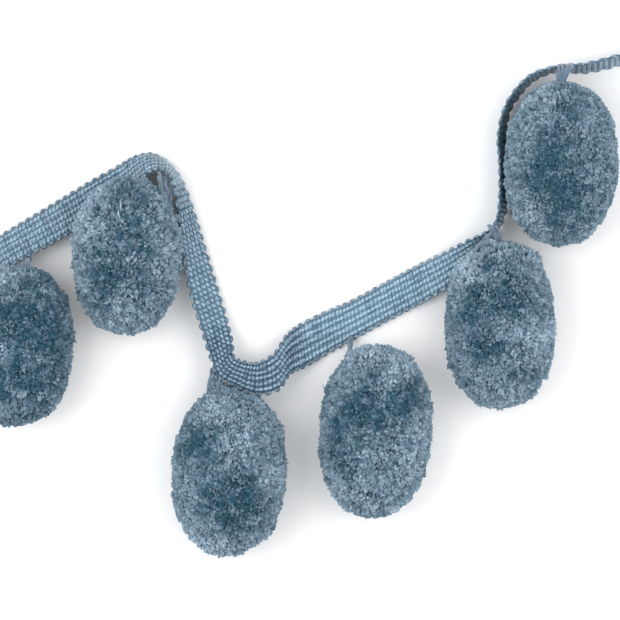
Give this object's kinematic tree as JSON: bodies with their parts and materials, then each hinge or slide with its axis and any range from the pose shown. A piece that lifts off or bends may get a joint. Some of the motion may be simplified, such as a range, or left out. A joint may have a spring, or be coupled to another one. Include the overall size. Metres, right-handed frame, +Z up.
{
  "type": "pompom fringe trim",
  "caption": "Cut length of woven gimp braid lying bent and twisted on a surface, with cut-yarn pompoms tied along its lower edge.",
  "frame": {"origin": "on the surface that the trim lies on, under the middle of its bounding box", "axes": "+X along the trim from its left cut end to its right one, +Y towards the free edge of the tape, +Z up"},
  "size_m": [0.2219, 0.1595, 0.0328],
  "materials": {
    "gimp_tape": "woven gimp braid with a soft silky shine",
    "pompom_yarn": "dense cut pile of fuzzy yarn",
    "tie_yarn": "matt twisted yarn"
  },
  "bodies": {
    "root": {"tape": "gimp_tape", "pompom_1": "pompom_yarn", "pompom_2": "pompom_yarn", "pompom_3": "pompom_yarn", "pompom_4": "pompom_yarn", "pompom_5": "pompom_yarn", "pompom_6": "pompom_yarn", "tie_1": "tie_yarn", "tie_2": "tie_yarn", "tie_3": "tie_yarn", "tie_4": "tie_yarn", "tie_5": "tie_yarn", "tie_6": "tie_yarn"}
  },
  "joints": []
}
